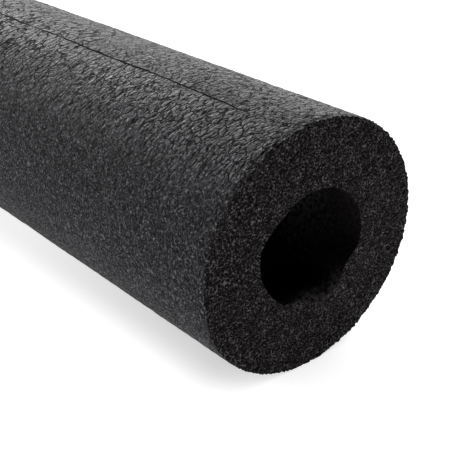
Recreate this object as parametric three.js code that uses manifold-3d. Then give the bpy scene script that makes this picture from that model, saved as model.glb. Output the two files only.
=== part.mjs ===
// Pipe insulation lagging: one straight length of black closed-cell foam tube, made to slip over a
// 22 mm pipe. A hairline score runs along its top and stops short of both cut ends.
// Units are millimetres and +Z is up. The tube lies along X on the floor, and the origin is on the
// floor under the middle of its length.

import * as THREE from 'three';
import { mergeVertices } from 'three/addons/utils/BufferGeometryUtils.js';
import Module from 'manifold-3d';

// Driving dimensions
const PIPE_DIAMETER = 22;  // outside of the pipe that the bore takes
const BORE_EASE = 2;       // how much wider the bore is than the pipe
const WALL = 13;           // foam thickness round the bore
const LENGTH = 1000;       // one sold length
const SIDES = 64;          // flats round the tube, with one of them lying on the floor

// The score, where a fitter opens the tube with a knife
const SCORE_ANGLE = 13.5;  // degrees past the top, towards -Y
const SCORE_WIDTH = 0.4;   // across its lips, at the skin
const SCORE_DEPTH = 3;     // from the skin to the bottom of the cut
const SCORE_END_GAP = 10;  // uncut skin left at each end of the tube

const BORE_RADIUS = (PIPE_DIAMETER + BORE_EASE) / 2;
const OUTER_RADIUS = BORE_RADIUS + WALL;

const FOAM = { color: 0x303032, roughness: 0.9, metalness: 0 };

// A regular polygon round a circle of this radius: its flats touch the circle, and one faces down.
function roundOutline(radius) {
  const corner = radius / Math.cos(Math.PI / SIDES);
  const points = [];
  for (let side = 0; side < SIDES; side += 1) {
    const angle = ((side + 0.5) * 2 * Math.PI) / SIDES;
    points.push(new THREE.Vector2(corner * Math.cos(angle), corner * Math.sin(angle)));
  }
  return points;
}

// A section drawn across the tube, with its height as the drawing's Y, drawn out along X about the middle.
function drawnAlongX(shape, length) {
  const geometry = new THREE.ExtrudeGeometry(shape, { depth: length, bevelEnabled: false });
  geometry.translate(0, 0, -length / 2);
  geometry.rotateX(Math.PI / 2);
  geometry.rotateZ(Math.PI / 2);
  return geometry;
}

function tubeBlank() {
  const section = new THREE.Shape(roundOutline(OUTER_RADIUS));
  section.holes.push(new THREE.Path(roundOutline(BORE_RADIUS)));
  return drawnAlongX(section, LENGTH);
}

// The knife's wedge: its tip is at the bottom of the score, and it stands clear of the skin outside.
function scoreWedge() {
  const standOut = SCORE_DEPTH;
  const halfWidth = ((SCORE_WIDTH / 2) * (SCORE_DEPTH + standOut)) / SCORE_DEPTH;
  const tip = OUTER_RADIUS - SCORE_DEPTH;
  const back = OUTER_RADIUS + standOut;
  const section = new THREE.Shape([
    new THREE.Vector2(0, tip),
    new THREE.Vector2(halfWidth, back),
    new THREE.Vector2(-halfWidth, back),
  ]);
  const wedge = drawnAlongX(section, LENGTH - 2 * SCORE_END_GAP);
  wedge.rotateX(THREE.MathUtils.degToRad(SCORE_ANGLE));
  return wedge;
}

function asSolid(wasm, geometry) {
  const bare = geometry.clone();
  bare.deleteAttribute('normal');
  bare.deleteAttribute('uv');
  const merged = mergeVertices(bare);
  return new wasm.Manifold(new wasm.Mesh({
    numProp: 3,
    vertProperties: new Float32Array(merged.attributes.position.array),
    triVerts: new Uint32Array(merged.index.array),
  }));
}

function asGeometry(solid) {
  const mesh = solid.getMesh();
  const geometry = new THREE.BufferGeometry();
  geometry.setAttribute('position', new THREE.BufferAttribute(mesh.vertProperties, 3));
  geometry.setIndex(new THREE.BufferAttribute(mesh.triVerts, 1));
  geometry.computeVertexNormals();
  return geometry;
}

// The one piece: the extruded tube with its score cut out, lying on one of its flats.
async function foamTube() {
  const wasm = await Module();
  wasm.setup();
  const scored = asSolid(wasm, tubeBlank()).subtract(asSolid(wasm, scoreWedge()));
  const tube = new THREE.Mesh(asGeometry(scored), new THREE.MeshStandardMaterial(FOAM));
  tube.name = 'foam_tube';
  tube.position.z = OUTER_RADIUS;
  return tube;
}

const lagging = new THREE.Group();
lagging.name = 'pipe_lagging';
lagging.add(await foamTube());

export default lagging;
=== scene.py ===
"""Pipe insulation lagging: one length of black polyethylene foam tube on a white studio floor.

It has a crinkled skin with a hairline score along its top, cut cells on its ends, and a bore."""

from math import atan2, cos, exp, hypot, pi, radians, sin

import bmesh
import bpy
from bpy.props import FloatProperty, FloatVectorProperty, IntProperty, PointerProperty
from mathutils import Matrix, Vector, noise


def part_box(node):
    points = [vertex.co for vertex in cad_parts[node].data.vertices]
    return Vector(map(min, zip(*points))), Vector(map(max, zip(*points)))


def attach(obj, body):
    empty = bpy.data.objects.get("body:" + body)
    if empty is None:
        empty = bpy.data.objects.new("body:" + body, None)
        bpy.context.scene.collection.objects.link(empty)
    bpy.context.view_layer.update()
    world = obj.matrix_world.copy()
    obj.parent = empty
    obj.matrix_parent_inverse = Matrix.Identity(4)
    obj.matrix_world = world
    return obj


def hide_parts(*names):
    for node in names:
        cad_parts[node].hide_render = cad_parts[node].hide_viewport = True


bl_info = {
    "name": "Pipe lagging",
    "version": (1, 0, 0),
    "blender": (4, 5, 0),
    "location": "View3D > Sidebar > Lagging",
    "description": "Makes a length of black foam pipe lagging and a white studio round it",
    "category": "Object",
}

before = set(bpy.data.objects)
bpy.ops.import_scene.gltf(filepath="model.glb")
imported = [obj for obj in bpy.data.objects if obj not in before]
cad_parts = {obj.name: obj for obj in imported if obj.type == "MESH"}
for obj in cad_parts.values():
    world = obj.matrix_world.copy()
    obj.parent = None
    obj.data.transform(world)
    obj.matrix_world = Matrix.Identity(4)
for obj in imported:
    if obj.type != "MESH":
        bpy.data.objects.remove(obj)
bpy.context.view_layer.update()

MM = 0.001
NODE = "foam_tube"
IMAGE_SIDE = 458


def frame_sizes():
    """(length, outer radius, bore radius) of the CAD tube, which lies along X on the floor."""
    low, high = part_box(NODE)
    outer = (high.z - low.z) / 2
    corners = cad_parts[NODE].data.vertices
    bore = min(hypot(corner.co.y, corner.co.z - low.z - outer) for corner in corners)
    return high.x - low.x, outer, bore


TUBE_LENGTH, OUTER_RADIUS, BORE_RADIUS = frame_sizes()
NEAR_END = TUBE_LENGTH / 2


def linear(code):
    """An sRGB hex colour, such as 3A3A3C, as linear red, green and blue."""
    channels = [int(code[i : i + 2], 16) / 255 for i in (0, 2, 4)]
    return [c / 12.92 if c <= 0.04045 else ((c + 0.055) / 1.055) ** 2.4 for c in channels]


class LaggingSizes(bpy.types.PropertyGroup):
    """The tube's own sizes and the heights of its relief"""

    length: FloatProperty(
        name="Length", description="Length of the tube", default=TUBE_LENGTH, unit="LENGTH")
    outer_radius: FloatProperty(
        name="Outer radius", description="Middle of the bore to the skin",
        default=OUTER_RADIUS, unit="LENGTH")
    bore_radius: FloatProperty(
        name="Bore radius", description="Radius of the round bore",
        default=BORE_RADIUS, unit="LENGTH")
    columns: IntProperty(
        name="Columns", description="Faces round the tube before its near end is made finer",
        default=72)
    score_angle: FloatProperty(
        name="Score angle", description="How far the score lies past the top, towards -Y",
        default=radians(13.3), subtype="ANGLE")
    score_width: FloatProperty(
        name="Score width", description="Width of the score across its lips",
        default=0.4 * MM, unit="LENGTH")
    score_depth: FloatProperty(
        name="Score depth", description="Depth of the score", default=2.0 * MM, unit="LENGTH")
    score_end_gap: FloatProperty(
        name="Score end gap", description="Skin left whole at each end",
        default=10 * MM, unit="LENGTH")
    cell_size: FloatProperty(
        name="Skin cell", description="Width of a puffed cell in the skin",
        default=2.3 * MM, unit="LENGTH")
    cell_height: FloatProperty(
        name="Skin cell height", description="How far the skin sinks between its cells",
        default=0.14 * MM, unit="LENGTH")
    swell: FloatProperty(
        name="Swell", description="How far the puffed skin stands past the nominal radius",
        default=0.33 * MM, unit="LENGTH")
    pit_size: FloatProperty(
        name="Cut cell", description="Width of an open cell on a cut end",
        default=0.75 * MM, unit="LENGTH")
    pit_depth: FloatProperty(
        name="Cut cell depth", description="Depth of an open cell on a cut end",
        default=0.3 * MM, unit="LENGTH")


class LaggingFinish(bpy.types.PropertyGroup):
    """The colours of the foam"""

    skin: FloatVectorProperty(
        name="Skin", description="Carbon-black foam skin",
        subtype="COLOR", default=linear("2C2C30"))
    # Painted shade: the near-black colour put in the skin's creases, where shade falls
    crease: FloatVectorProperty(
        name="Crease", description="Skin in the creases between cells",
        subtype="COLOR", default=linear("040405"))
    # Painted glints: pale specks on the crests that stand in for light caught by tiny bumps, and
    # painted light deep in the bore
    painted_glint: FloatVectorProperty(
        name="Glint", description="Tight skin on the crests of the crepe",
        subtype="COLOR", default=linear("6A696D"))
    # Broken cell walls: paler partly in their own colour and partly as painted highlights; also the
    # paler low lip of each bore mouth
    cut: FloatVectorProperty(
        name="Cut cells", description="Walls of the cells that the knife opened",
        subtype="COLOR", default=linear("706C6C"))
    # Painted shade: the dark inside of an open cell, also the dark grain of the bore and of the score
    pit_shade: FloatVectorProperty(
        name="Pits", description="The dark inside of an open cell",
        subtype="COLOR", default=linear("110D0F"))


class LaggingStudio(bpy.types.PropertyGroup):
    """The floor, the light and the camera"""

    azimuth: FloatProperty(
        name="Azimuth", description="Camera's turn round the tube's end",
        default=radians(49.53), subtype="ANGLE")
    elevation: FloatProperty(
        name="Elevation", description="Camera's tilt down", default=radians(27.06), subtype="ANGLE")
    focal_pixels: FloatProperty(
        name="Focal length", description="Focal length in pixels of the picture", default=953.1)
    floor: FloatVectorProperty(
        name="Floor", description="White table", subtype="COLOR", default=linear("C8C8C8"))
    glow: FloatProperty(
        name="Floor glow", description="Light that the white table gives off", default=1.0)
    far_shadow: FloatProperty(
        name="Far shadow", description="Depth of the shadow under the tube, away from its near end",
        default=0.21)
    near_shadow: FloatProperty(
        name="Near shadow", description="Depth of the shadow under the tube at its near end",
        default=0.51)
    room: FloatProperty(
        name="Room", description="Brightness of the room round the lights", default=0.04)
    key: FloatProperty(
        name="Soft lights", description="Strength of all the soft lights", default=1.0)


# Nodes

def add(tree, kind, inputs=None, **settings):
    """Adds a node, sets its settings, and sets or links its inputs, which are named or numbered."""
    node = tree.nodes.new(kind)
    for name, value in settings.items():
        setattr(node, name, value)
    for name, value in (inputs or {}).items():
        if isinstance(value, bpy.types.NodeSocket):
            tree.links.new(value, node.inputs[name])
        else:
            node.inputs[name].default_value = value
    return node


def new_material(name):
    material = bpy.data.materials.new(name)
    material.use_nodes = True
    material.node_tree.nodes.clear()
    return material, material.node_tree


def times(tree, value, factor):
    return add(tree, "ShaderNodeMath", {0: value, 1: factor}, operation="MULTIPLY").outputs[0]


def plus(tree, first, second):
    return add(tree, "ShaderNodeMath", {0: first, 1: second}, operation="ADD").outputs[0]


def unsigned(tree, value):
    return add(tree, "ShaderNodeMath", {0: value}, operation="ABSOLUTE").outputs[0]


def ramp(tree, value, low, high, to_low=0.0, to_high=1.0):
    """value carried smoothly from the range low to high onto the range to_low to to_high."""
    inputs = {"Value": value, "From Min": low, "From Max": high, "To Min": to_low, "To Max": to_high}
    return add(tree, "ShaderNodeMapRange", inputs, interpolation_type="SMOOTHSTEP").outputs["Result"]


def blend(tree, share, first, second):
    """A number between first and second."""
    return add(tree, "ShaderNodeMix", {0: share, 2: first, 3: second}, data_type="FLOAT").outputs[0]


def colour_value(colour):
    """A socket as it is, or a linear colour with its alpha."""
    return colour if isinstance(colour, bpy.types.NodeSocket) else (*colour, 1)


def mix(tree, share, first, second):
    """A colour between first and second."""
    inputs = {0: share, 6: colour_value(first), 7: colour_value(second)}
    return add(tree, "ShaderNodeMix", inputs, data_type="RGBA").outputs[2]


def object_axes(tree):
    """The object's own X, Y and Z coordinates."""
    place = add(tree, "ShaderNodeTexCoord").outputs["Object"]
    return add(tree, "ShaderNodeSeparateXYZ", {0: place}).outputs


def pattern_place(tree, across, along=None, turn=0.0):
    """Object coordinates, turned about the vertical, in units of a pattern's size across the tube
    and, where it differs, along it."""
    place = add(tree, "ShaderNodeTexCoord").outputs["Object"]
    if turn:
        place = add(tree, "ShaderNodeVectorRotate", {"Vector": place, "Angle": turn},
                    rotation_type="Z_AXIS").outputs[0]
    scale = (1 / (along or across), 1 / across, 1 / across)
    return add(tree, "ShaderNodeVectorMath", {0: place, 1: scale}, operation="MULTIPLY").outputs[0]


def noise_at(tree, place, detail=2.0, roughness=0.5):
    """A noise node whose outputs are a number between 0 and 1, and a colour of three."""
    inputs = {"Vector": place, "Scale": 1.0, "Detail": detail, "Roughness": roughness}
    return add(tree, "ShaderNodeTexNoise", inputs)


def grain(tree, width):
    """Noise between 0 and 1 whose specks have a width."""
    return noise_at(tree, pattern_place(tree, width)).outputs[0]


def edge_distance(tree, place):
    """How far a place lies inside its Voronoi cell, as a share of a cell."""
    return add(tree, "ShaderNodeTexVoronoi", {"Vector": place, "Scale": 1.0},
               feature="DISTANCE_TO_EDGE").outputs["Distance"]


def fold_place(tree, drift, width, length, turn):
    """Places in units of a fold, with its width along the tube and its length round it."""
    place = pattern_place(tree, across=length, along=width, turn=turn)
    return add(tree, "ShaderNodeVectorMath", {0: place, 1: drift}, operation="ADD").outputs[0]


def crepe(tree, drift, width, length, crease, turn=0.0):
    """Folds with sharp creases: 1 on their crests and 0 in the creases."""
    return ramp(tree, edge_distance(tree, fold_place(tree, drift, width, length, turn)), 0.0, crease)


def crinkle(tree, drift, width, length, detail, turn=0.0):
    """Crumpled relief between 0 and 1."""
    place = fold_place(tree, drift, width, length, turn)
    return noise_at(tree, place, detail, roughness=0.55).outputs[0]


def furrow(tree, relief, width):
    """0 along the lines where a relief passes its middle, and 1 away from them."""
    return ramp(tree, unsigned(tree, plus(tree, relief, -0.5)), 0.0, width)


def finish_surface(tree, colour, height, roughness, specular=0.5):
    """Foam's Principled surface: its colour, its relief as a height in metres, and its gloss."""
    bump = add(tree, "ShaderNodeBump", {"Height": height, "Distance": 1.0, "Strength": 1.0})
    inputs = {"Base Color": colour, "Roughness": roughness, "Specular IOR Level": specular,
              "IOR": 1.5, "Normal": bump.outputs[0]}
    surface = add(tree, "ShaderNodeBsdfPrincipled", inputs)
    add(tree, "ShaderNodeOutputMaterial", {"Surface": surface.outputs[0]})


# The skin's material

# How far its folds are pushed about, in sizes of a fold, and over what width
FOLD_DRIFT = 1.2
FOLD_DRIFT_WIDTH = 3.0 * MM
# How deep the edges of the large plates are as a share of the creases, on the sides and near the top
SIDE_PLATE_EDGE = 0.3
TOP_PLATE_EDGE = 0.55
# Heights above the floor between which the crepe of the sides becomes that of the top
SIDE_CREPE_TOP = 1.5 * OUTER_RADIUS
TOP_CREPE_FOOT = 1.85 * OUTER_RADIUS
# Heights above the floor between which the relief grows flatter, towards the crown
CROWN_FOOT = 1.92 * OUTER_RADIUS
CROWN_TOP = 2.0 * OUTER_RADIUS
CROWN_RELIEF = 0.6
# Distances from the near end between which the top's creases grow broader
FINE_CREASE_REACH = 45 * MM
BROAD_CREASE_START = 70 * MM
# How far from the near end the relief grows flatter, and the share of it that is left there
FLATTER_REACH = 30 * MM
NEAR_END_RELIEF = 0.75
# Heights of the relief over the whole range of its pattern
SIDE_FOLD_HEIGHT = 1.35 * MM
TOP_FOLD_HEIGHT = 0.22 * MM
CREASE_HEIGHT = 0.12 * MM
# Roughness of the skin in its creases, and on its crests near the end and far from it
CREASE_ROUGHNESS = 0.95
NEAR_ROUGHNESS = 0.55
FAR_ROUGHNESS = 0.585


def skin_pattern(tree, upper, broad):
    """The crepe's folds between 0 and 1, and its open skin, which is 0 in the creases."""
    wander = noise_at(tree, pattern_place(tree, FOLD_DRIFT_WIDTH)).outputs["Color"]
    drift = add(tree, "ShaderNodeVectorMath", {0: wander, "Scale": FOLD_DRIFT},
                operation="SCALE").outputs[0]
    long_folds = crinkle(tree, drift, width=0.75 * MM, length=2.1 * MM, detail=1.2, turn=radians(20))
    short_folds = crinkle(tree, drift, width=0.65 * MM, length=0.65 * MM, detail=3.0)
    fine = crepe(tree, drift, width=0.82 * MM, length=1.9 * MM, crease=0.13, turn=radians(16))
    coarse = crepe(tree, drift, width=1.3 * MM, length=2.9 * MM, crease=0.13, turn=radians(26))
    top_creases = blend(tree, broad, fine, coarse)
    creases = blend(tree, upper, furrow(tree, short_folds, width=0.1), top_creases)
    plates = crepe(tree, drift, width=2.6 * MM, length=3.8 * MM, crease=0.08)
    edge_depth = blend(tree, upper, SIDE_PLATE_EDGE, TOP_PLATE_EDGE)
    plate_edges = plus(tree, 1.0, times(tree, plus(tree, plates, -1.0), edge_depth))
    return blend(tree, upper, short_folds, long_folds), times(tree, creases, plate_edges)


def skin_material(finish):
    """Extruded polyethylene foam skin: carbon black with a dull sheen, shrunk into crepe as it cooled.

    The eye gets grey crests between black creases, and the creases are darkened further by painted
    shade. Near the top the folds run round the tube. Lower down they are short and lie every way. The
    pale specks on the crests are painted glints, standing in for light caught by tiny bumps, and are
    drawn half a millimetre wide."""
    material, tree = new_material("polyethylene foam skin")
    axes = object_axes(tree)
    upper = ramp(tree, axes["Z"], SIDE_CREPE_TOP, TOP_CREPE_FOOT)
    broad = ramp(tree, axes["X"], NEAR_END - FINE_CREASE_REACH, NEAR_END - BROAD_CREASE_START)
    folds, open_skin = skin_pattern(tree, upper, broad)
    fold_height = times(tree, folds, blend(tree, upper, SIDE_FOLD_HEIGHT, TOP_FOLD_HEIGHT))
    rise = plus(tree, fold_height, times(tree, open_skin, CREASE_HEIGHT))
    near_share = ramp(tree, axes["X"], NEAR_END - FLATTER_REACH, NEAR_END, 1.0, NEAR_END_RELIEF)
    crown_share = ramp(tree, axes["Z"], CROWN_FOOT, CROWN_TOP, 1.0, CROWN_RELIEF)
    rise = times(tree, times(tree, rise, near_share), crown_share)
    glint_specks = ramp(tree, grain(tree, 0.5 * MM), 0.5, 0.66)
    # Painted shade in the creases, then painted glints on the crests
    colour = mix(tree, open_skin, finish.crease, finish.skin)
    colour = mix(tree, times(tree, open_skin, glint_specks), colour, finish.painted_glint)
    crest_roughness = blend(tree, broad, NEAR_ROUGHNESS, FAR_ROUGHNESS)
    roughness = ramp(tree, open_skin, 0.0, 0.8, CREASE_ROUGHNESS, crest_roughness)
    finish_surface(tree, colour, rise, roughness, specular=0.14)
    return material


# The materials of the cut ends, the bore and the score

# Distances into the bore between which its grain grows lighter, from painted shade at the mouth to
# painted light deep inside, with the shares of light grain there
DARK_MOUTH_REACH = 4 * MM
DEEP_BORE_START = 25 * MM
MOUTH_LIGHT = 0.06
DEEP_LIGHT = 0.8
# Heights of the bore's low side as shares of its radius below the axis, and how far in it is frayed
# and lightened by painted light
LOW_SIDE_TOP = 0.5
LOW_SIDE_FOOT = 0.9
FRAY_REACH = 6 * MM
FRAY_SHARE = 0.5

UNLIT = (0.001, 0.001, 0.001)


def cut_material(finish):
    """Knife-cut polyethylene foam: broken cell walls, paler partly in their own colour and partly as
    painted highlights where they catch the light, round open cells darkened by painted shade.

    The shards left on the walls are finer than the picture can show, and are drawn 0.38 mm wide."""
    material, tree = new_material("cut polyethylene foam")
    cell_width, shard_width, patch_width = 0.7 * MM, 0.38 * MM, 1.8 * MM
    wall_height, shard_height = 0.3 * MM, 0.25 * MM
    wall_foot, wall_crest = 0.36, 0.02
    wall = ramp(tree, edge_distance(tree, pattern_place(tree, cell_width)), wall_foot, wall_crest)
    shards = grain(tree, shard_width)
    patches = ramp(tree, grain(tree, patch_width), 0.35, 0.65, to_low=0.35, to_high=1.0)
    pale_and_lit_walls = times(tree, times(tree, wall, patches), ramp(tree, shards, 0.46, 0.66))
    heights = plus(tree, times(tree, wall, wall_height), times(tree, shards, shard_height))
    # Painted shade in the open cells; the walls' paler colour is partly painted highlight
    colour = mix(tree, pale_and_lit_walls, finish.pit_shade, finish.cut)
    finish_surface(tree, colour, heights, roughness=0.75, specular=0.07)
    return material


def bore_material(finish):
    """The bore's skin, drawn smooth over the extruder's pin, in the same carbon black.

    The eye gets a faint matt grain. Near each mouth the grain is darkened almost to black as painted
    shade. Deep inside, where hardly any light falls, its specks are lightened as painted light so that
    they still show. The low side of each mouth is paler: partly frayed foam, and partly painted light
    where the wall faces up."""
    material, tree = new_material("bore foam skin")
    axes = object_axes(tree)
    from_middle = unsigned(tree, axes["X"])
    # Painted shade near each mouth, turning to painted light deep inside
    deep = ramp(tree, from_middle, NEAR_END - DARK_MOUTH_REACH, NEAR_END - DEEP_BORE_START,
                MOUTH_LIGHT, DEEP_LIGHT)
    low = ramp(tree, axes["Z"], OUTER_RADIUS - LOW_SIDE_TOP * BORE_RADIUS,
               OUTER_RADIUS - LOW_SIDE_FOOT * BORE_RADIUS)
    # The low side of each mouth is paler: partly frayed foam, partly painted light where the wall faces
    # up
    frayed = times(tree, low, ramp(tree, from_middle, NEAR_END - FRAY_REACH, NEAR_END, 0.0, FRAY_SHARE))
    light = mix(tree, deep, finish.pit_shade, finish.painted_glint)
    light = mix(tree, frayed, light, finish.cut)
    specks = grain(tree, 0.8 * MM)
    colour = mix(tree, ramp(tree, specks, 0.3, 0.7), finish.pit_shade, light)
    finish_surface(tree, colour, times(tree, specks, 0.2 * MM), roughness=0.95, specular=0.03)
    return material


def score_material(finish):
    """The inside of the knife score: torn foam that no light reaches, so the eye gets a black line."""
    material, tree = new_material("scored foam")
    specks = grain(tree, 0.5 * MM)
    colour = mix(tree, specks, UNLIT, finish.pit_shade)
    finish_surface(tree, colour, times(tree, specks, 0.05 * MM), roughness=0.9)
    return material


# The floor's material

# How far along the tube from its near end the shadow changes, and how far it fades past that end
SHADOW_REACH = 110 * MM
SHADOW_PAST_END = 12 * MM
# The share of the shadow's depth that is left past the end
SHADOW_LEFT = 0.54
# Shares of open room over the floor at which the shadow ends: beside the tube, far from its near end
# and close to it, and past that end
EDGE_FAR = 0.86
EDGE_NEAR = 0.74
EDGE_PAST_END = 0.97
# Shares of open room at which the shadow is deepest
CORE_FAR = 0.24
CORE_NEAR = 0.14


def floor_material(studio):
    """Opal white acrylic table, lit a little from below, so that the tube's shadow on it stays pale.

    The eye gets plain white. The shadow is painted: a loss of that glow where ambient occlusion finds
    the tube covering the table, deeper towards the near end and fading past it."""
    material, tree = new_material("opal acrylic table")
    along = object_axes(tree)["X"]
    shadow_start, end_start = NEAR_END - SHADOW_REACH, NEAR_END - SHADOW_PAST_END
    under = ramp(tree, along, shadow_start, NEAR_END, studio.far_shadow, studio.near_shadow)
    left = ramp(tree, along, end_start, NEAR_END + SHADOW_PAST_END / 3, 1.0, SHADOW_LEFT)
    past_end = ramp(tree, along, NEAR_END - SHADOW_PAST_END / 2, NEAR_END + SHADOW_PAST_END / 2)
    edge_beside = ramp(tree, along, shadow_start, end_start, EDGE_FAR, EDGE_NEAR)
    edge = blend(tree, past_end, edge_beside, EDGE_PAST_END)
    core = ramp(tree, along, shadow_start, end_start, CORE_FAR, CORE_NEAR)
    # Painted shadow: the table's glow is cut where ambient occlusion finds the tube close
    cover = add(tree, "ShaderNodeAmbientOcclusion", {"Distance": OUTER_RADIUS / 2}, samples=16)
    shade = plus(tree, ramp(tree, cover.outputs["AO"], core, edge), -1.0)
    painted_shadow_loss = times(tree, times(tree, under, left), shade)
    left_glow = times(tree, plus(tree, painted_shadow_loss, 1.0), studio.glow)
    glow = add(tree, "ShaderNodeEmission", {"Strength": left_glow})
    table = add(tree, "ShaderNodeBsdfDiffuse", {"Color": (*studio.floor, 1)})
    surface = add(tree, "ShaderNodeAddShader", {0: table.outputs[0], 1: glow.outputs[0]})
    add(tree, "ShaderNodeOutputMaterial", {"Surface": surface.outputs[0]})
    return material


# The tube's plain mesh

SKIN, CUT, BORE, SCORE = range(4)

# How far from the near end each grade of the mesh reaches, and how wide the cut's finest ring is
FINE_REACH = 110 * MM
FINER_REACH = 60 * MM
FINEST_REACH = 2.2 * MM
FINEST_RING = 6.5 * MM
MOUTH_REACH = 10 * MM

# Steps along the wall's outline before any face is split
BASE_STEP = 2.2 * MM
LONG_STEP = 6.5 * MM
MOUTH_STEP = 0.8 * MM
BORE_STEP = 2.5 * MM
DEEP_BORE_STEP = 4 * BORE_STEP
FAR_END_REACH = 4 * BASE_STEP
JOIN_WITHIN = 1e-3 * MM


def stations(start, end, step):
    """Evenly spaced places from start to end, about a step apart, without the last."""
    count = max(1, round(abs(end - start) / step))
    return [start + (end - start) * i / count for i in range(count)]


def wall_outline(sizes):
    """The wall's closed outline as places along the tube and distances from its axis."""
    half, outer, bore = sizes.length / 2, sizes.outer_radius, sizes.bore_radius
    far_end = -half + FAR_END_REACH
    along_skin = stations(-half, far_end, BASE_STEP)
    along_skin += stations(far_end, half - FINE_REACH, LONG_STEP)
    along_skin += stations(half - FINE_REACH, half, BASE_STEP)
    along_bore = stations(half, half - MOUTH_REACH, MOUTH_STEP)
    along_bore += stations(half - MOUTH_REACH, half - FINER_REACH, BORE_STEP)
    along_bore += stations(half - FINER_REACH, -half, DEEP_BORE_STEP)
    outline = [(x, outer) for x in along_skin]
    outline += [(half, radius) for radius in stations(outer, bore, BASE_STEP)]
    outline += [(x, bore) for x in along_bore]
    outline += [(-half, radius) for radius in stations(bore, outer, BASE_STEP)]
    return outline


def half_lip(sizes):
    """The angle round the tube from the score's middle to one of its lips."""
    return sizes.score_width / 2 / sizes.outer_radius


def spun_wall(sizes):
    """The wall's outline spun round the axis, with two narrow columns between the score's lips."""
    bm = bmesh.new()
    axis_place = (0, 0, sizes.outer_radius)
    ring = [bm.verts.new((x, 0, sizes.outer_radius + radius)) for x, radius in wall_outline(sizes)]
    edges = [bm.edges.new((a, b)) for a, b in zip(ring, ring[1:] + ring[:1])]
    lip = half_lip(sizes)
    turn = Matrix.Rotation(sizes.score_angle + lip, 3, "X")
    bmesh.ops.rotate(bm, verts=ring, cent=axis_place, matrix=turn)
    last = ring + edges
    for angle, steps in ((2 * pi - 2 * lip, sizes.columns), (lip, 1), (lip, 1)):
        spun = bmesh.ops.spin(bm, geom=last, cent=axis_place, axis=(1, 0, 0), angle=angle, steps=steps,
                              use_merge=False)
        last = spun["geom_last"]
    bmesh.ops.remove_doubles(bm, verts=bm.verts, dist=JOIN_WITHIN)
    bmesh.ops.recalc_face_normals(bm, faces=bm.faces)
    return bm


def past_top(point, sizes):
    """The angle of a point round the tube, from the top towards -Y."""
    return atan2(-point.y, point.z - sizes.outer_radius)


def from_axis(point, sizes):
    return hypot(point.y, point.z - sizes.outer_radius)


def part_of_surface(face, sizes):
    """Which finish a face of the plain tube has."""
    middle = face.calc_center_median()
    faces_along_tube = abs(face.normal.x) > 0.5
    if faces_along_tube:
        return CUT
    if from_axis(middle, sizes) < (sizes.bore_radius + sizes.outer_radius) / 2:
        return BORE
    between_lips = abs(past_top(middle, sizes) - sizes.score_angle) < half_lip(sizes)
    uncut = abs(middle.x) > sizes.length / 2 - sizes.score_end_gap
    return SCORE if between_lips and not uncut else SKIN


def make_finer(bm, wanted):
    """Splits every face that wanted picks into four."""
    faces = [face for face in bm.faces if wanted(face)]
    edges = list(dict.fromkeys(edge for face in faces for edge in face.edges))
    bmesh.ops.subdivide_edges(bm, edges=edges, cuts=1, use_grid_fill=True)


def grade_mesh(bm, sizes):
    """Makes the mesh finer towards the near end, where the wrinkles and cells are seen close."""
    near = sizes.length / 2

    def within(reach, ring=None):
        """Picks skin within reach of the near end, and cuts: the near one each time, or only its
        outer ring, and the far one the first time."""
        def wanted(face):
            middle = face.calc_center_median()
            if face.material_index == CUT:
                if middle.x < 0:
                    return ring is None and reach == FINE_REACH
                return ring is None or from_axis(middle, sizes) > sizes.outer_radius - ring
            return face.material_index in (SKIN, SCORE) and near - middle.x < reach
        return wanted

    make_finer(bm, within(FINE_REACH))
    make_finer(bm, within(FINER_REACH))
    make_finer(bm, within(FINEST_REACH, FINEST_RING))


# The relief

# Puffed cells of the skin: their size along the tube and the width of their creases as shares of
# a cell, and how far and over what width they drift
CELL_ALONG = 0.8
CELL_CREASE = 0.55
CELL_DRIFT = 0.35
CELL_DRIFT_WIDTH = 4 * MM

# Slow waves of the skin
WAVE_HEIGHT = 0.12 * MM
WAVE_ALONG = 9 * MM
WAVE_ROUND = 14 * MM

# Nicks in the rims, and how far they reach from the cut along the skin
NICK_DEPTH = 0.24 * MM
NICK_ALONG = 1.4 * MM
NICK_ROUND = 0.75 * MM
NICK_REACH = 1.6 * MM

# Cut cells: the radius of a pit as a share of a cell, and the roughness between the pits
PIT_RADIUS = 0.6
CUT_ROUGHNESS = 0.5
CUT_ROUGH_WIDTH = 0.6 * MM

# How deep in the wall the relief of the skin and of the bore still moves the foam
SKIN_RELIEF_DEPTH = 1.2 * MM
BORE_RELIEF_DEPTH = 7 * MM

# Slow waves of the bore's wall
BORE_WAVE_HEIGHT = 0.25 * MM
BORE_WAVE_WIDTH = 5 * MM

# Bulges of the bore's wall, and how fast they die away from a mouth
BULGE_REACH = 18 * MM
BORE_BULGES = (
    # angle past the top, how far the wall stands into the bore, how wide it is round the bore
    (radians(76), -1.1 * MM, radians(22)),
    (radians(129), 0.5 * MM, radians(18)),
    (radians(163), 1.8 * MM, radians(18)),
    (radians(237), 1.4 * MM, radians(14)),
)

# Torn foam on the bore's low side: its direction and width, its height, how uneven it is, and how
# far inside the near mouth it stands highest
HUMP_ANGLE = radians(184)
HUMP_WIDTH = radians(32)
HUMP_HEIGHT = 1.9 * MM
HUMP_UNEVEN = 0.5
HUMP_GRAIN = 1.0 * MM
HUMP_DEPTH = 3.2 * MM

# The slope of the near cut towards +Y and upwards, and how far into the tube the lean reaches
CUT_LEAN_Y = 0.0248
CUT_LEAN_Z = 0.025
LEAN_REACH = 25 * MM
# How close to the plane of a cut a point counts as on it
ON_END = 0.01 * MM

# The knife's stray: its slow swing and its kinks, and how far round the tube the skin follows them
SWING = radians(0.7)
SWING_LENGTH = 13 * MM
KINK = radians(0.5)
KINK_LENGTH = 4 * MM
STRAY_REACH = radians(6)

# How wide the score stands open as a share of its width, and over what length it closes at its ends
GAPE = 0.95
GAPE_UNEVEN = 0.45
GAPE_LENGTH = 5 * MM
GAPE_LEAST = 0.1
GAPE_FADE = 4 * MM
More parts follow.
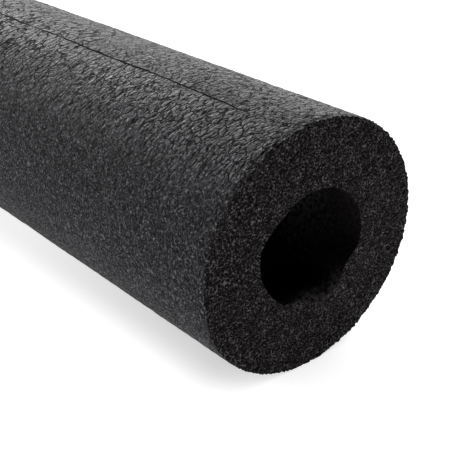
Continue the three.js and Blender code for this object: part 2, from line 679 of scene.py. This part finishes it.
# A share of the half width that takes in the points on the lips themselves
LIP_MARGIN = 1.05


def in_widths(point, along, across):
    """A point in units of one width along the tube and another across it."""
    return Vector((point.x / along, point.y / across, point.z / across))


def noise_along(x, width, row):
    """Noise along the tube, of a width, with its own values in each row."""
    return noise.noise(Vector((x / width, *row)))


def fade(distance, reach):
    """1 at no distance, falling smoothly to 0 at reach."""
    share = min(1.0, max(0.0, distance / reach))
    return 1 - share * share * (3 - 2 * share)


def turn_between(first, second):
    """The smaller angle between two directions."""
    return abs((first - second + pi) % (2 * pi) - pi)


def hill(angle, middle, width):
    """1 at a middle direction, falling to 0 on both sides of it like a bell."""
    return exp(-((turn_between(angle, middle) / width) ** 2))


def dome(place):
    """1 in the middle of a Voronoi cell and 0 in the crease round it."""
    distances, _ = noise.voronoi(place)
    gap = min(1.0, (distances[1] - distances[0]) / CELL_CREASE)
    return gap * (2 - gap)


def slow_drift(place):
    """Noise in each of three directions, read at places set apart, and the same in every run."""
    return Vector([noise.noise(place + Vector((7.3 * k, 3.1 * k, 0.0))) for k in range(3)])


def skin_sink(point, sizes):
    """How far the skin lies below the round tube: puffed cells, and slow waves from cooling."""
    drift = slow_drift(point / CELL_DRIFT_WIDTH) * CELL_DRIFT
    place = in_widths(point, CELL_ALONG * sizes.cell_size, sizes.cell_size) + drift
    wave = 0.5 + 0.5 * noise.noise(in_widths(point, WAVE_ALONG, WAVE_ROUND))
    return sizes.cell_height * (1 - dome(place)) + WAVE_HEIGHT * wave - sizes.swell


def rim_nick(point):
    """How far the knife broke the skin's edge back into the foam at this point of a rim."""
    return NICK_DEPTH * (1 - dome(in_widths(point, NICK_ALONG, NICK_ROUND)))


def pit_depth(point, sizes):
    """How deep the cut surface lies here: open cells with raised walls between them."""
    distances, _ = noise.voronoi(point / sizes.pit_size)
    fall, finer, octaves = 1.0, 2.0, 3
    rough = noise.fractal(point / CUT_ROUGH_WIDTH, fall, finer, octaves)
    return sizes.pit_depth * (max(0.0, 1 - distances[0] / PIT_RADIUS) + CUT_ROUGHNESS * rough)


def bore_bulge(angle, end_gap):
    """How far the bore's wall stands in at this angle, where the foam moved after it was cut."""
    bulge = sum(height * hill(angle, at, width) for at, height, width in BORE_BULGES)
    return bulge * exp(-end_gap / BULGE_REACH)


def torn_hump(point, angle, end_gap):
    """How far torn foam stands up from the bore's low side, a little way inside the near mouth."""
    inward = end_gap / HUMP_DEPTH
    uneven = 1 + HUMP_UNEVEN * noise.noise(point / HUMP_GRAIN)
    return HUMP_HEIGHT * uneven * inward * exp(1 - inward) * hill(angle, HUMP_ANGLE, HUMP_WIDTH)


def bore_stand(point, angle, end_gap):
    """How far the bore's wall stands in here, with all its relief."""
    stand = bore_bulge(angle, end_gap) + BORE_WAVE_HEIGHT * noise.noise(point / BORE_WAVE_WIDTH)
    return stand + torn_hump(point, angle, end_gap) if point.x > 0 else stand


def score_gape(x, end_gap, sizes):
    """How wide the score stands open here, as a share of its width: it closes towards its ends."""
    open_here = 1 - fade(end_gap - sizes.score_end_gap, GAPE_FADE)
    uneven = GAPE + GAPE_UNEVEN * noise_along(x, GAPE_LENGTH, (0.1, 0.5))
    return max(GAPE_LEAST, open_here * uneven)


def score_cut(point, angle, end_gap, sizes):
    """How deep the score is here: nothing at its lips, and fading out towards its ends."""
    across = turn_between(angle, sizes.score_angle) / half_lip(sizes)
    return sizes.score_depth * max(0.0, 1 - across) * score_gape(point.x, end_gap, sizes)


def score_stray(x, angle, end_gap, sizes):
    """How far the skin turns round the tube here: the knife strayed, and the foam closes its cut."""
    away = turn_between(angle, sizes.score_angle)
    swing = SWING * noise_along(x, SWING_LENGTH, (0.3, 0.7))
    kinks = KINK * noise_along(x, KINK_LENGTH, (0.9, 0.2))
    stray = (swing + kinks) * fade(away, STRAY_REACH)
    if away < LIP_MARGIN * half_lip(sizes):
        stray += (angle - sizes.score_angle) * (score_gape(x, end_gap, sizes) - 1)
    return stray


def place_along(point, end_gap, sizes):
    """Where along the tube a point comes to lie: the near cut leans, and both cuts are pitted."""
    along = point.x
    if point.x > 0:
        lean = CUT_LEAN_Y * point.y + CUT_LEAN_Z * (point.z - sizes.outer_radius)
        along += lean * fade(end_gap, LEAN_REACH)
    if end_gap < ON_END:
        along -= (1 if point.x > 0 else -1) * pit_depth(point, sizes)
    return along


def true_radius(radius, sizes):
    """The skin's or the bore's own radius, for a point that splitting a face left inside it."""
    sag = (pi / sizes.columns) ** 2
    for circle in (sizes.outer_radius, sizes.bore_radius):
        if abs(radius - circle) < circle * sag:
            return circle
    return radius


def shaped(point, sizes):
    """Where a point of the plain tube lies on the real foam, which rests on the floor."""
    angle = past_top(point, sizes)
    end_gap = sizes.length / 2 - abs(point.x)
    plain_radius = from_axis(point, sizes)
    near_skin = fade(sizes.outer_radius - plain_radius, SKIN_RELIEF_DEPTH)
    near_bore = fade(plain_radius - sizes.bore_radius, BORE_RELIEF_DEPTH)
    radius = true_radius(plain_radius, sizes)
    on_skin = radius == sizes.outer_radius
    if near_skin:
        radius -= near_skin * (skin_sink(point, sizes) + rim_nick(point) * fade(end_gap, NICK_REACH))
    if on_skin:
        radius -= score_cut(point, angle, end_gap, sizes)
    if near_bore:
        radius -= near_bore * bore_stand(point, angle, end_gap)
    turned = angle + score_stray(point.x, angle, end_gap, sizes)
    height = max(0.0, sizes.outer_radius + radius * cos(turned))
    return Vector((place_along(point, end_gap, sizes), -radius * sin(turned), height))


def new_object(scene, bm, name, materials):
    """Turns a bmesh into an object of the scene."""
    mesh = bpy.data.meshes.new(name)
    bm.to_mesh(mesh)
    bm.free()
    for material in materials:
        mesh.materials.append(material)
    thing = bpy.data.objects.new(name, mesh)
    scene.collection.objects.link(thing)
    return thing


class LAGGING_OT_foam_tube(bpy.types.Operator):
    """Makes the foam tube with its skin, cut ends, bore and score"""

    bl_idname = "lagging.foam_tube"
    bl_label = "Foam tube"

    def execute(self, context):
        sizes, finish = context.scene.lagging_sizes, context.scene.lagging_finish
        bm = spun_wall(sizes)
        for face in bm.faces:
            face.material_index = part_of_surface(face, sizes)
            face.smooth = True
        grade_mesh(bm, sizes)
        for vert in bm.verts:
            vert.co = shaped(vert.co.copy(), sizes)
        for edge in bm.edges:
            edge.smooth = len({face.material_index for face in edge.link_faces}) == 1
        materials = (skin_material(finish), cut_material(finish), bore_material(finish),
                     score_material(finish))
        tube = new_object(context.scene, bm, "foam_lagging_tube", materials)
        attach(tube, "root")
        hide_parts(NODE)
        return {"FINISHED"}


# The studio

# Metres from the floor's middle to its sides
FLOOR_REACH = 30

# The camera's place from the floor under the near end, in outer radii, and its clipping in metres
CAMERA_PLACE = Vector((4.202, -4.391, 4.26))
CLIP_START = 0.01
CLIP_END = 100

SOFT_LIGHTS = (
    # turn round the tube's end from +X towards +Y, height above the floor, width, strength
    (radians(135), radians(10), radians(40), 2.0),
    (radians(155), radians(30), radians(16), 0.55),
    (radians(165), radians(22), radians(16), 2.1),
    (radians(200), radians(12), radians(16), 1.3),
    (radians(225), radians(10), radians(40), 1.05),
)


class LAGGING_OT_studio(bpy.types.Operator):
    """Makes the white floor, the light and the camera"""

    bl_idname = "lagging.studio"
    bl_label = "Studio"

    def execute(self, context):
        scene, studio = context.scene, context.scene.lagging_studio
        make_floor(scene, studio)
        light_room(scene, studio)
        place_camera(scene, studio)
        scene.view_settings.view_transform = "Standard"
        return {"FINISHED"}


def make_floor(scene, studio):
    bm = bmesh.new()
    bmesh.ops.create_grid(bm, x_segments=1, y_segments=1, size=FLOOR_REACH)
    floor = new_object(scene, bm, "studio_floor", [floor_material(studio)])


def light_room(scene, studio):
    """A dim room that the camera sees as white, and soft lights mostly low behind the tube."""
    world = bpy.data.worlds.new("studio room")
    scene.world = world
    world.use_nodes = True
    tree = world.node_tree
    tree.nodes.clear()
    seen = add(tree, "ShaderNodeLightPath").outputs["Is Camera Ray"]
    brightness = add(tree, "ShaderNodeMath", {0: seen, 1: studio.room}, operation="MAXIMUM").outputs[0]
    room = add(tree, "ShaderNodeBackground", {"Strength": brightness})
    add(tree, "ShaderNodeOutputWorld", {"Surface": room.outputs[0]})
    for turn, height, width, strength in SOFT_LIGHTS:
        lamp = bpy.data.lights.new("soft light", "SUN")
        lamp.energy = strength * studio.key
        lamp.angle = width
        light = bpy.data.objects.new("soft light", lamp)
        towards = Vector((cos(height) * cos(turn), cos(height) * sin(turn), sin(height)))
        light.rotation_euler = (-towards).to_track_quat("-Z", "Y").to_euler()
        scene.collection.objects.link(light)


def place_camera(scene, studio):
    camera = bpy.data.objects.new("camera", bpy.data.cameras.new("camera"))
    camera.location = Vector((NEAR_END, 0, 0)) + OUTER_RADIUS * CAMERA_PLACE
    camera.rotation_euler = (pi / 2 - studio.elevation, 0, studio.azimuth)
    camera.data.lens = studio.focal_pixels * camera.data.sensor_width / IMAGE_SIDE
    camera.data.clip_start = CLIP_START
    camera.data.clip_end = CLIP_END
    scene.collection.objects.link(camera)
    scene.camera = camera


class LAGGING_PT_sidebar(bpy.types.Panel):
    """Sidebar panel with the tube, its finish and the studio"""

    bl_idname = "LAGGING_PT_sidebar"
    bl_label = "Pipe lagging"
    bl_space_type = "VIEW_3D"
    bl_region_type = "UI"
    bl_category = "Lagging"

    def draw(self, context):
        for group_name in GROUPS:
            group = getattr(context.scene, group_name)
            box = self.layout.box()
            for name in group.bl_rna.properties.keys():
                if name not in ("rna_type", "name"):
                    box.prop(group, name)
        self.layout.operator("lagging.foam_tube")
        self.layout.operator("lagging.studio")


GROUPS = {
    "lagging_sizes": LaggingSizes,
    "lagging_finish": LaggingFinish,
    "lagging_studio": LaggingStudio,
}
CLASSES = (*GROUPS.values(), LAGGING_OT_foam_tube, LAGGING_OT_studio, LAGGING_PT_sidebar)


def register():
    for kind in CLASSES:
        bpy.utils.register_class(kind)
    for name, kind in GROUPS.items():
        setattr(bpy.types.Scene, name, PointerProperty(type=kind))


def unregister():
    for name in GROUPS:
        delattr(bpy.types.Scene, name)
    for kind in reversed(CLASSES):
        bpy.utils.unregister_class(kind)


def main():
    register()
    bpy.ops.lagging.foam_tube()
    bpy.ops.lagging.studio()


if __name__ == "__main__":
    main()
